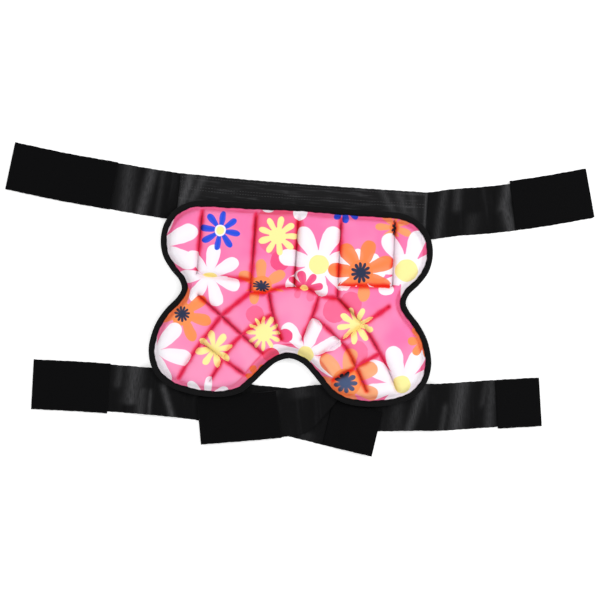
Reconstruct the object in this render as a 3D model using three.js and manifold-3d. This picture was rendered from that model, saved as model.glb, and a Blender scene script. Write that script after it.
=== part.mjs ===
// Tailbone protector: a quilted foam pad with a bound rim, a waist strap along its top edge and
// two leg straps behind its lower lobes, lying open on a flat surface with the padded face up.
// Millimetres, +Z up, +X to the right and +Y towards the waist.

import * as THREE from "three";
import { mergeVertices } from "three/addons/utils/BufferGeometryUtils.js";
import Module from "manifold-3d";

const wasm = await Module();
wasm.setup();

// Driving dimensions
const panelWidth = 288; // over the two lower lobes, at the cut edge inside the binding
const panelHeight = 199.3; // from the top edge to the bottom of the lobes
const padThickness = 16; // from the back of the pad to the top of its blocks
const flangeThickness = 2.4; // the flattened rim that the binding grips
const blockFold = 7; // from the cut edge to the fold where the foam blocks begin
const blockRound = 12; // width of the rounded shoulder of the outer blocks
const blockFoot = 1; // from the end of the flat rim to that fold
const backInset = 10; // from the cut edge to the flat of the padded back
const grooveDepth = 9;
const grooveWidth = 7; // between the tops of the two blocks
const grooveShoulder = 3.6; // where the blocks' rounded edges end
const grooveFloor = 1.6;
const grooveLip = 2.25; // depth of the blocks' rounded edges
const bindingWidth = 6.2; // the band of tape that shows round the face
const bindingThickness = 1.2;
const bindingRound = 0.84; // rounding of the tape's outer fold
const seamGap = 0.3; // clearance between two pieces that are sewn together
const clothThickness = 1.4; // straps, waist band and patches alike
const strapWidth = 48.5;
const waistReachLeft = 175; // visible strap, from the band's left seam to the end of the loop patch
const waistReachRight = 167; // visible strap, from the band's right seam to the end of the hook patch
const legReachLeft = 131; // left leg strap, from the middle of the lobe's seam to its outer end
const legReachRight = 128; // right leg strap, from the middle of the lobe's seam to its outer end
const sewOverlap = 16; // hidden stretch of a waist strap under the waist band
const sewDrop = 1; // how far the left strap's hidden end lies below its seam
const patchLip = 1.5; // how far a patch runs past the end of its strap
const riseLength = 12; // length over which a strap climbs from one layer to another
const hookAngle = -9.9; // left leg strap's inner tip from +X, in degrees
const tailAngle = 8.5; // right leg strap's inner tip, likewise
const hookClimb = 9; // from the hook patch's edge to where the strap under it starts to climb
const outerHidden = 13.8; // from there to the right outer strap's hidden end
const tailClimb = 4; // from the tail's slanted cut to where it starts to climb

// Hook and loop patches: length, width and how far each is sewn off its strap's centre line
const patchTable = {
  waistLoop: { length: 109, width: 49.5, shift: 0 },
  waistHook: { length: 81, width: 51, shift: 1.7 },
  legLoopLeft: { length: 79, width: 51.4, shift: -0.6 },
  legHookLeft: { length: 52, width: 47.6, shift: -0.5 },
  legHookRight: { length: 45.5, width: 50, shift: -1 },
  legLoopRight: { length: 82.5, width: 48.6, shift: -0.4 },
};

// Right half of the panel's cut edge, from the middle of the top edge round to the crotch.
// across is a share of half the panel's width, up a share of its height.
const outlineTable = [
  { across: 0.0, up: 0.441 },
  { across: 0.25, up: 0.437 },
  { across: 0.5, up: 0.435 },
  { across: 0.66, up: 0.434 },
  { across: 0.771, up: 0.4245 },
  { across: 0.876, up: 0.382 },
  { across: 0.943, up: 0.311 },
  { across: 0.9625, up: 0.229 },
  { across: 0.94, up: 0.148 },
  { across: 0.878, up: 0.08 },
  { across: 0.8125, up: 0.0276 },
  { across: 0.791, up: -0.02 },
  { across: 0.816, up: -0.062 },
  { across: 0.903, up: -0.137 },
  { across: 0.96, up: -0.207 },
  { across: 0.992, up: -0.2835 },
  { across: 1.0, up: -0.341 },
  { across: 0.979, up: -0.4165 },
  { across: 0.924, up: -0.477 },
  { across: 0.829, up: -0.523 },
  { across: 0.726, up: -0.545 },
  { across: 0.568, up: -0.5595 },
  { across: 0.43, up: -0.551 },
  { across: 0.333, up: -0.524 },
  { across: 0.262, up: -0.478 },
  { across: 0.174, up: -0.409 },
  { across: 0.097, up: -0.359 },
  { across: 0.0, up: -0.336 },
];

// Rounded shoulder of the outer blocks: inward and upward shares of its width and height
const shoulderTable = [
  { inward: 0.12, upward: 0.55 },
  { inward: 0.42, upward: 0.88 },
  { inward: 1.0, upward: 1.0 },
];

// Sewn grooves between the foam blocks, right half, in the same shares as the outline
const grooveTable = {
  innerColumn: [
    { across: 0.304, up: 0.415 },
    { across: 0.307, up: 0.2 },
    { across: 0.311, up: -0.016 },
  ],
  outerColumn: [
    { across: 0.687, up: 0.415 },
    { across: 0.698, up: 0.065 },
  ],
  waistRow: [
    { across: 0.31, up: 0.047 },
    { across: 0.68, up: 0.059 },
  ],
  fanTop: [
    { across: 0.0, up: 0.0245 },
    { across: 0.111, up: 0.016 },
    { across: 0.18, up: -0.008 },
    { across: 0.229, up: -0.0165 },
    { across: 0.311, up: -0.016 },
  ],
  fanShoulder: [
    { across: 0.311, up: -0.016 },
    { across: 0.386, up: -0.0655 },
    { across: 0.507, up: -0.1455 },
  ],
  notchDiagonal: [
    { across: 0.507, up: -0.1455 },
    { across: 0.68, up: -0.046 },
  ],
  crotchDiagonal: [
    { across: 0.507, up: -0.1455 },
    { across: 0.35, up: -0.238 },
    { across: 0.199, up: -0.3245 },
  ],
  outerArc: [
    { across: 0.507, up: -0.1455 },
    { across: 0.632, up: -0.281 },
    { across: 0.7035, up: -0.367 },
    { across: 0.782, up: -0.48 },
  ],
  innerArc: [
    { across: 0.145, up: -0.124 },
    { across: 0.217, up: -0.156 },
    { across: 0.35, up: -0.238 },
    { across: 0.406, up: -0.281 },
    { across: 0.4895, up: -0.386 },
    { across: 0.56, up: -0.485 },
  ],
  lobeRow: [
    { across: 0.639, up: -0.286 },
    { across: 0.479, up: -0.364 },
    { across: 0.311, up: -0.4425 },
  ],
  fanSpoke: [
    { across: 0.18, up: -0.008 },
    { across: 0.1445, up: -0.11 },
    { across: 0.072, up: -0.245 },
  ],
};
const centreGroove = [
  { across: 0.0, up: 0.415 },
  { across: 0.0, up: 0.0245 },
];

// Waist line: seams and heights of the band, in the outline's shares
const bandTable = [
  { across: -0.866, up: 0.4545 },
  { across: -0.4, up: 0.4425 },
  { across: 0.01, up: 0.4375 },
  { across: 0.45, up: 0.435 },
  { across: 0.912, up: 0.434 },
];

// Free stretch of each waist strap outwards from its seam.
// out is a share of the strap's reach, and rise is the height gained, also as a share of the reach.
const waistLeftTable = [
  { out: 1.0, rise: 0.12 },
  { out: 0.69, rise: 0.074 },
  { out: 0.455, rise: 0.047 },
  { out: 0.22, rise: 0.02 },
  { out: 0.0, rise: 0.0 },
];
const waistRightTable = [
  { out: 0.0, rise: 0.0 },
  { out: 0.18, rise: 0.034 },
  { out: 0.33, rise: 0.054 },
  { out: 0.48, rise: 0.079 },
  { out: 0.72, rise: 0.128 },
  { out: 1.0, rise: 0.196 },
];

// Leg straps where they pass behind the lobes and cross, in the outline's shares
const leftLegCrossing = [
  { across: -0.64, up: -0.57 },
  { across: -0.263, up: -0.612 },
  { across: -0.018, up: -0.62 },
  { across: 0.3, up: -0.659 },
];
const rightLegCrossing = [
  { across: 0.44, up: -0.582 },
  { across: 0.71, up: -0.567 },
  { across: 0.917, up: -0.555 },
];
const rightTailTable = [
  { across: -0.055, up: -0.633 },
  { across: 0.11, up: -0.607 },
  { across: 0.48, up: -0.56 },
];
const legLeftTable = [
  { out: 1.0, rise: 0.021 },
  { out: 0.5, rise: 0.025 },
];
const lobeSeamAcross = 0.916; // middle of the hidden seam between a leg strap and its lobe
const lobeSeamHalf = 0.13; // half the length of that seam
const legRightTable = [
  { out: 0.2, rise: 0.013 },
  { out: 0.58, rise: 0.062 },
  { out: 1.0, rise: 0.113 },
];

// Layers of cloth, counted up from the surface that the straps lie on
const layerPitch = clothThickness + seamGap;
const padBottom = 3 * layerPitch;
const flangeBottom = padBottom + bindingThickness + seamGap;
const flangeTop = flangeBottom + flangeThickness;
const bindingTop = flangeTop + seamGap + bindingThickness;
const padTop = padBottom + padThickness;
const bindingOut = seamGap + bindingThickness; // the tape's outer face beyond the cut edge

const outlineSteps = 144;
const outlineSamples = 2000;
const strapStep = 6;
const grooveStep = 12;

const finishes = {
  print: { color: 0xff86bb, roughness: 0.75 },
  binding: { color: 0x111113, roughness: 0.9 },
  elastic: { color: 0x1c1c1f, roughness: 0.5 },
  band: { color: 0x242427, roughness: 0.7 },
  loop: { color: 0x0d0d0f, roughness: 0.95 },
  hook: { color: 0x0d0d0f, roughness: 0.85 },
};

// A table row's place on the part
function place(row) {
  return new THREE.Vector2((row.across * panelWidth) / 2, row.up * panelHeight);
}

// A plan direction turned from +X by an angle in degrees
function heading(angle) {
  const turn = THREE.MathUtils.degToRad(angle);
  return new THREE.Vector2(Math.cos(turn), Math.sin(turn));
}

function mirrored(rows) {
  return rows.map((row) => ({ across: -row.across, up: row.up }));
}

// A smooth open curve through plan points
function planCurve(points) {
  const lifted = points.map((p) => new THREE.Vector3(p.x, p.y, 0));
  return new THREE.CatmullRomCurve3(lifted, false, "centripetal");
}

// The panel's cut edge as evenly spaced plan points, anticlockwise from the middle of the top
function cutEdge() {
  const half = outlineTable.slice(1, -1);
  const rows = [...mirrored(outlineTable), ...half.reverse()];
  const points = rows.map(place).map((p) => new THREE.Vector3(p.x, p.y, 0));
  const curve = new THREE.CatmullRomCurve3(points, true, "centripetal");
  curve.arcLengthDivisions = outlineSamples;
  return curve.getSpacedPoints(outlineSteps).slice(0, outlineSteps);
}

// A loop moved towards the inside by inset, or outwards where inset is negative, at height z
function ring(loop, inset, z) {
  return loop.map((point, i) => {
    const before = loop[(i + loop.length - 1) % loop.length];
    const after = loop[(i + 1) % loop.length];
    const along = new THREE.Vector2(after.x - before.x, after.y - before.y).normalize();
    return new THREE.Vector3(point.x - along.y * inset, point.y + along.x * inset, z);
  });
}

// The triangles that fill a flat outline
function fill(outline) {
  return THREE.ShapeUtils.triangulateShape(
    outline.map((p) => new THREE.Vector2(p.x, p.y)),
    [],
  );
}

// A closed surface through sections of equal length, as a BufferGeometry.
// caps holds the triangles of the first and last section. Without it the last joins the first.
function skin(sections, caps = null) {
  const looped = caps === null;
  const size = sections[0].length;
  const positions = sections.flat().flatMap((p) => [p.x, p.y, p.z]);
  const faces = [];
  const spans = looped ? sections.length : sections.length - 1;
  for (let s = 0; s < spans; s += 1) {
    const here = s * size;
    const next = ((s + 1) % sections.length) * size;
    for (let i = 0; i < size; i += 1) {
      const j = (i + 1) % size;
      faces.push(here + i, here + j, next + j);
      faces.push(here + i, next + j, next + i);
    }
  }
  if (!looped) {
    const last = (sections.length - 1) * size;
    for (const [a, b, c] of caps.first) {
      faces.push(c, b, a);
    }
    for (const [a, b, c] of caps.last) {
      faces.push(last + a, last + b, last + c);
    }
  }
  const geometry = new THREE.BufferGeometry();
  geometry.setAttribute("position", new THREE.Float32BufferAttribute(positions, 3));
  geometry.setIndex(faces);
  return geometry;
}

function solid(geometry) {
  const bare = geometry.clone();
  bare.deleteAttribute("normal");
  bare.deleteAttribute("uv");
  const merged = mergeVertices(bare);
  return new wasm.Manifold(
    new wasm.Mesh({
      numProp: 3,
      vertProperties: merged.attributes.position.array,
      triVerts: new Uint32Array(merged.index.array),
    }),
  );
}

function geometryOf(manifold) {
  const mesh = manifold.getMesh();
  const geometry = new THREE.BufferGeometry();
  geometry.setAttribute("position", new THREE.BufferAttribute(mesh.vertProperties, 3));
  geometry.setIndex(new THREE.BufferAttribute(mesh.triVerts, 1));
  return geometry;
}

function piece(name, geometry, finish) {
  geometry.computeVertexNormals();
  const mesh = new THREE.Mesh(geometry, new THREE.MeshStandardMaterial(finish));
  mesh.name = name;
  return mesh;
}

// Padded panel: a flat rim, a rounded shoulder of foam and a quilted top cut by the grooves
function grooveCutter(rows) {
  const curve = planCurve(rows.map(place));
  const length = curve.getLength();
  const steps = Math.max(1, Math.round(length / grooveStep));
  const half = grooveWidth / 2;
  const shoulder = grooveShoulder / 2;
  const floor = grooveFloor / 2;
  const head = 1; // how far the cutter stands above the blocks
  const profile = [
    new THREE.Vector2(-half, head),
    new THREE.Vector2(-half, 0),
    new THREE.Vector2(-shoulder, -grooveLip),
    new THREE.Vector2(-floor, -grooveDepth),
    new THREE.Vector2(floor, -grooveDepth),
    new THREE.Vector2(shoulder, -grooveLip),
    new THREE.Vector2(half, 0),
    new THREE.Vector2(half, head),
  ];
  const sections = [];
  for (let s = 0; s <= steps; s += 1) {
    const point = curve.getPointAt(s / steps);
    const along = curve.getTangentAt(s / steps);
    sections.push(
      profile.map(
        (p) => new THREE.Vector3(point.x - along.y * p.x, point.y + along.x * p.x, padTop + p.y),
      ),
    );
  }
  return solid(skin(sections, { first: fill(profile), last: fill(profile) }));
}

function paddedPanel(edge) {
  const rings = [
    ring(edge, backInset, padBottom),
    ring(edge, blockFold, flangeBottom),
    ring(edge, 0, flangeBottom),
    ring(edge, 0, flangeTop),
    ring(edge, blockFold - blockFoot, flangeTop),
  ];
  for (const { inward, upward } of shoulderTable) {
    const height = THREE.MathUtils.lerp(flangeTop, padTop, upward);
    rings.push(ring(edge, blockFold + blockRound * inward, height));
  }
  let body = solid(skin(rings, { first: fill(rings[0]), last: fill(rings[rings.length - 1]) }));
  const grooves = [centreGroove];
  for (const rows of Object.values(grooveTable)) {
    grooves.push(rows, mirrored(rows));
  }
  for (const rows of grooves) {
    body = body.subtract(grooveCutter(rows));
  }
  return piece("padded_panel", geometryOf(body), finishes.print);
}

// Binding: one tape folded round the flange, all the way along the cut edge
function edgeBinding(edge) {
  const inner = bindingWidth - bindingOut;
  const profile = [
    { inset: inner, z: padBottom },
    { inset: -bindingOut + bindingRound, z: padBottom },
    { inset: -bindingOut, z: padBottom + bindingRound },
    { inset: -bindingOut, z: bindingTop - bindingRound },
    { inset: -bindingOut + bindingRound, z: bindingTop },
    { inset: inner, z: bindingTop },
    { inset: inner, z: flangeTop + seamGap },
    { inset: -seamGap, z: flangeTop + seamGap },
    { inset: -seamGap, z: flangeBottom - seamGap },
    { inset: inner, z: flangeBottom - seamGap },
  ];
  const rings = profile.map((p) => ring(edge, p.inset, p.z));
  return piece("edge_binding", skin(rings), finishes.binding);
}

// A strap's height at x: layers holds rows of x and layer, with smooth climbs between them
function layerAt(layers, x) {
  let height = layers[0].layer;
  for (let i = 1; i < layers.length; i += 1) {
    const from = layers[i - 1];
    const share = THREE.MathUtils.smoothstep(x, from.x, layers[i].x);
    height += share * (layers[i].layer - from.layer);
  }
  return height;
}

// A flat strap along a plan curve that runs towards +X, between two lengths of the curve.
// lowerShare narrows its lower half where an end is cut on a slant.
function ribbon({ curve, from, to, width, shift = 0, layers, lift = 0, lowerShare = () => 1 }) {
  const length = curve.getLength();
  const steps = Math.max(1, Math.ceil((to - from) / strapStep));
  const sections = [];
  for (let s = 0; s <= steps; s += 1) {
    const u = THREE.MathUtils.clamp((from + ((to - from) * s) / steps) / length, 0, 1);
    const beyond = from + ((to - from) * s) / steps - u * length;
    const point = curve.getPointAt(u);
    const along = curve.getTangentAt(u);
    const x = point.x + along.x * beyond;
    const y = point.y + along.y * beyond;
    const z = (layerAt(layers, x) + lift) * layerPitch;
    const upper = shift + width / 2;
    const lower = shift - (width / 2) * lowerShare(x);
    const corner = (side, height) =>
      new THREE.Vector3(x - along.y * side, y + along.x * side, z + height);
    sections.push([
      corner(lower, 0),
      corner(upper, 0),
      corner(upper, clothThickness),
      corner(lower, clothThickness),
    ]);
  }
  const end = [
    [0, 1, 2],
    [0, 2, 3],
  ];
  return skin(sections, { first: end, last: end });
}

// A hook or loop patch sewn over one end of a strap
function patch(name, strap, size, atStart, finish) {
  const length = strap.curve.getLength();
  const geometry = ribbon({
    ...strap,
    from: atStart ? 0 : length - size.length,
    to: atStart ? size.length : length,
    width: size.width,
    shift: size.shift,
    lift: 1,
    lowerShare: () => 1,
  });
  return piece(name, geometry, finish);
}

function elastic(name, strap) {
  return piece(name, ribbon(strap), finishes.elastic);
}

// Waist: a band behind the pad's top edge, and a strap sewn under each of its ends
function waistPieces() {
  const band = planCurve(bandTable.map(place));
  const bandLength = band.getLength();
  const bandLayers = [{ x: 0, layer: 2 }];
  const bandShape = { curve: band, from: 0, to: bandLength, width: strapWidth, layers: bandLayers };
  const leftSeam = place(bandTable[0]);
  const rightSeam = place(bandTable[bandTable.length - 1]);

  const leftRows = waistLeftTable.map(
    (row) =>
      new THREE.Vector2(
        leftSeam.x - row.out * waistReachLeft,
        leftSeam.y + row.rise * waistReachLeft,
      ),
  );
  leftRows.push(new THREE.Vector2(leftSeam.x + sewOverlap, leftSeam.y - sewDrop));
  const leftCurve = planCurve(leftRows);
  const left = {
    curve: leftCurve,
    from: patchLip,
    to: leftCurve.getLength(),
    width: strapWidth,
    layers: [
      { x: leftSeam.x - riseLength - seamGap, layer: 0 },
      { x: leftSeam.x - seamGap, layer: 1 },
    ],
  };

  const rightRows = waistRightTable.map(
    (row) =>
      new THREE.Vector2(
        rightSeam.x + row.out * waistReachRight,
        rightSeam.y + row.rise * waistReachRight,
      ),
  );
  rightRows.unshift(new THREE.Vector2(rightSeam.x - sewOverlap, rightSeam.y));
  const rightCurve = planCurve(rightRows);
  const right = {
    curve: rightCurve,
    from: 0,
    to: rightCurve.getLength() - patchLip,
    width: strapWidth,
    layers: [
      { x: rightSeam.x + seamGap, layer: 1 },
      { x: rightSeam.x + riseLength + seamGap, layer: 0 },
    ],
  };

  return [
    piece("waist_band", ribbon(bandShape), finishes.band),
    elastic("waist_strap_left", left),
    elastic("waist_strap_right", right),
    patch("waist_loop_patch", left, patchTable.waistLoop, true, finishes.loop),
    patch("waist_hook_patch", right, patchTable.waistHook, false, finishes.hook),
  ];
}

// Legs: the left strap is one length, sewn behind its lobe and passing across the crotch.
// The right strap is in two lengths sewn behind its lobe, so that its tail lies over the left strap.
function legPieces() {
  const halfPanel = panelWidth / 2;
  const seamHalf = (lobeSeamHalf * panelWidth) / 2;
  const leftSeamX = -lobeSeamAcross * halfPanel;
  const rightSeamX = lobeSeamAcross * halfPanel;
  const crossing = leftLegCrossing.map(place);
  const legLineY = crossing[0].y;

  const patchStart = crossing[crossing.length - 1];
  const climb = patchStart.x + hookClimb; // onto the right leg strap's hidden end
  const tip = patchStart
    .clone()
    .addScaledVector(heading(hookAngle), patchTable.legHookLeft.length);
  const leftFree = legLeftTable.map(
    (row) =>
      new THREE.Vector2(leftSeamX - row.out * legReachLeft, legLineY + row.rise * legReachLeft),
  );
  const leftCurve = planCurve([...leftFree, ...crossing, tip]);
  const left = {
    curve: leftCurve,
    from: patchLip,
    to: leftCurve.getLength() - patchLip,
    width: strapWidth,
    layers: [
      { x: leftSeamX - seamHalf - riseLength, layer: 0 },
      { x: leftSeamX - seamHalf, layer: 2 },
      { x: leftSeamX + seamHalf, layer: 2 },
      { x: leftSeamX + seamHalf + riseLength, layer: 0 },
      { x: climb, layer: 0 },
      { x: climb + riseLength, layer: 1 },
    ],
  };

  const outerRows = rightLegCrossing.map(place);
  outerRows[0].x = climb + outerHidden;
  const lastRow = outerRows[outerRows.length - 1];
  const free = legRightTable.map(
    (row) =>
      new THREE.Vector2(
        lastRow.x + row.out * legReachRight,
        lastRow.y + row.rise * legReachRight,
      ),
  );
  const outerCurve = planCurve([...outerRows, ...free]);
  const rightOuter = {
    curve: outerCurve,
    from: 0,
    to: outerCurve.getLength() - patchLip,
    width: strapWidth,
    layers: [
      { x: rightSeamX - seamHalf - riseLength, layer: 0 },
      { x: rightSeamX - seamHalf, layer: 2 },
      { x: rightSeamX + seamHalf, layer: 2 },
      { x: rightSeamX + seamHalf + riseLength, layer: 0 },
    ],
  };

  const tailRows = rightTailTable.map(place);
  const tailTip = tailRows[0]
    .clone()
    .addScaledVector(heading(tailAngle), -patchTable.legLoopRight.length);
  const tailCurve = planCurve([tailTip, ...tailRows]);
  const slantStart = tailRows[1].x; // the lower corner of the slanted end
  const slantEnd = tailRows[2].x; // its upper corner, under the right lobe
  const tail = {
    curve: tailCurve,
    from: patchLip,
    to: tailCurve.getLength() - patchLip,
    width: strapWidth,
    layers: [
      { x: slantStart + tailClimb, layer: 1 },
      { x: slantStart + tailClimb + riseLength, layer: 2 },
    ],
    lowerShare: (x) =>
      1 - 2 * THREE.MathUtils.clamp((x - slantStart) / (slantEnd - slantStart), 0, 1),
  };

  return [
    elastic("leg_strap_left", left),
    elastic("leg_strap_right_outer", rightOuter),
    elastic("leg_strap_right_tail", tail),
    patch("leg_loop_patch_left", left, patchTable.legLoopLeft, true, finishes.loop),
    patch("leg_hook_patch_left", left, patchTable.legHookLeft, false, finishes.hook),
    patch("leg_hook_patch_right", rightOuter, patchTable.legHookRight, false, finishes.hook),
    patch("leg_loop_patch_right", tail, patchTable.legLoopRight, true, finishes.loop),
  ];
}

const edge = cutEdge();
const pieces = [paddedPanel(edge), edgeBinding(edge), ...waistPieces(), ...legPieces()];

// The origin lies under the middle of everything, on the surface that the straps lie on
const part = new THREE.Group();
part.add(...pieces);
const reach = new THREE.Box3().setFromObject(part);
part.position.set(-(reach.min.x + reach.max.x) / 2, -(reach.min.y + reach.max.y) / 2, -reach.min.z);

export default part;
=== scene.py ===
import math
from collections import namedtuple

import bpy
import numpy as np
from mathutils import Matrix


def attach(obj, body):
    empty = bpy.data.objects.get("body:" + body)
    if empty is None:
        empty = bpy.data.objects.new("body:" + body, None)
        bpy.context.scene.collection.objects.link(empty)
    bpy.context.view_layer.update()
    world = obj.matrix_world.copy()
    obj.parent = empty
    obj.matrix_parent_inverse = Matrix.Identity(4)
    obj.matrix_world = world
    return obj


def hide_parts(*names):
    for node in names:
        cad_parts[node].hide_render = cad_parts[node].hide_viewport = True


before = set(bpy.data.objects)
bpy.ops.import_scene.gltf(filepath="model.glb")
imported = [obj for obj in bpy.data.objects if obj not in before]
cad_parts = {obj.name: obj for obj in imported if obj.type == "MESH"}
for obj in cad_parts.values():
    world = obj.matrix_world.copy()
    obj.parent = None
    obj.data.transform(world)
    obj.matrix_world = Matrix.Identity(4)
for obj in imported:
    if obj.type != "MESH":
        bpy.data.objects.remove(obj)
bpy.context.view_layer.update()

MM = 0.001
PAD_CENTRE = (-0.304, 9.28)  # the pad's middle in the row frame

# Sizes of the CAD source that the scene repeats
PANEL_WIDTH = 288
PANEL_HEIGHT = 199.3
PAD_THICKNESS = 16
FLANGE = 2.4
CLOTH = 1.4
SEAM_GAP = 0.3
TAPE = 1.2
BLOCK_FOLD = 7  # from the cut edge to the fold where the blocks begin
BLOCK_ROUND = 12
BACK_INSET = 10
STRAP = 48.5
LIP = 1.5  # how far a patch runs past the end of its strap
RISE = 12  # length over which a strap climbs one layer
SEWN = 16  # hidden stretch of a waist strap under the waist band
SEWN_DROP = 1  # how far the left strap's hidden end lies below its seam
LEFT_REACH, RIGHT_REACH = 175, 167
LEG_LEFT, LEG_RIGHT = 131, 128
HOOK_CLIMB = 9  # from the left hook patch to where the strap under it climbs
OUTER_HIDDEN = 13.8  # from there to the right outer strap's hidden end
TAIL_CLIMB = 4  # from the tail's slanted cut to its climb
HOOK_ANGLE, TAIL_ANGLE = -9.9, 8.5  # of the leg straps' inner tips from +X, in degrees

# Heights, from the floor upwards
PITCH = CLOTH + SEAM_GAP
PAD_BOTTOM = 3 * PITCH
RIM_BOTTOM = PAD_BOTTOM + TAPE + SEAM_GAP
RIM_TOP = RIM_BOTTOM + FLANGE
TAPE_TOP = RIM_TOP + SEAM_GAP + TAPE
PAD_TOP = PAD_BOTTOM + PAD_THICKNESS

# The grooves, shallower and rounder than in the CAD source
GROOVE_DEPTH = 7.6
GROOVE_ROUND = 10
GROOVE_FLOOR = 0.8

# The cut edge's right half and the grooves, as shares of half the panel's width and of its height
OUTLINE = [
    (0, 0.441), (0.25, 0.437), (0.5, 0.435), (0.66, 0.434), (0.771, 0.4245), (0.876, 0.382),
    (0.943, 0.311), (0.9625, 0.229), (0.94, 0.148), (0.878, 0.08), (0.8125, 0.0276), (0.791, -0.02),
    (0.816, -0.062), (0.903, -0.137), (0.96, -0.207), (0.992, -0.2835), (1, -0.341),
    (0.979, -0.4165), (0.924, -0.477), (0.829, -0.523), (0.726, -0.545), (0.568, -0.5595),
    (0.43, -0.551), (0.333, -0.524), (0.262, -0.478), (0.174, -0.409), (0.097, -0.359), (0, -0.336),
]
GROOVES = {
    "inner_column": [(0.304, 0.415), (0.307, 0.2), (0.311, -0.016)],
    "outer_column": [(0.687, 0.415), (0.698, 0.065)],
    "waist_row": [(0.31, 0.047), (0.68, 0.059)],
    "fan_top": [(0, 0.0245), (0.111, 0.016), (0.18, -0.008), (0.229, -0.0165), (0.311, -0.016)],
    "fan_shoulder": [(0.311, -0.016), (0.386, -0.0655), (0.507, -0.1455)],
    "notch_diagonal": [(0.507, -0.1455), (0.68, -0.046)],
    "crotch_diagonal": [(0.507, -0.1455), (0.35, -0.238), (0.199, -0.3245)],
    "outer_arc": [(0.507, -0.1455), (0.632, -0.281), (0.7035, -0.367), (0.782, -0.48)],
    "inner_arc": [
        (0.145, -0.124), (0.217, -0.156), (0.35, -0.238), (0.406, -0.281), (0.4895, -0.386), (0.56, -0.485),
    ],
    "lobe_row": [(0.639, -0.286), (0.479, -0.364), (0.311, -0.4425)],
    "fan_spoke": [(0.18, -0.008), (0.1445, -0.11), (0.072, -0.245)],
}
CENTRE_GROOVE = [(0, 0.415), (0, 0.0245)]

# Colours of the print, as on a screen
PINK = (253, 120, 177)
PINK_PALE = (253, 150, 192)
DEEP = (246, 78, 134)
DEEP_SOFT = (250, 104, 149)
DEEP_FAINT = (250, 118, 162)
WHITE = (252, 247, 253)
ORANGE = (255, 146, 80)
RICH_ORANGE = (255, 134, 72)
PALE_ORANGE = (252, 170, 119)
YELLOW = (255, 244, 160)
CREAM = (255, 232, 150)
NAVY = (30, 42, 74)
BLUE = (10, 76, 226)
SOFT_ORANGE = (252, 159, 101)
SLATE = (66, 84, 122)

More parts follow.
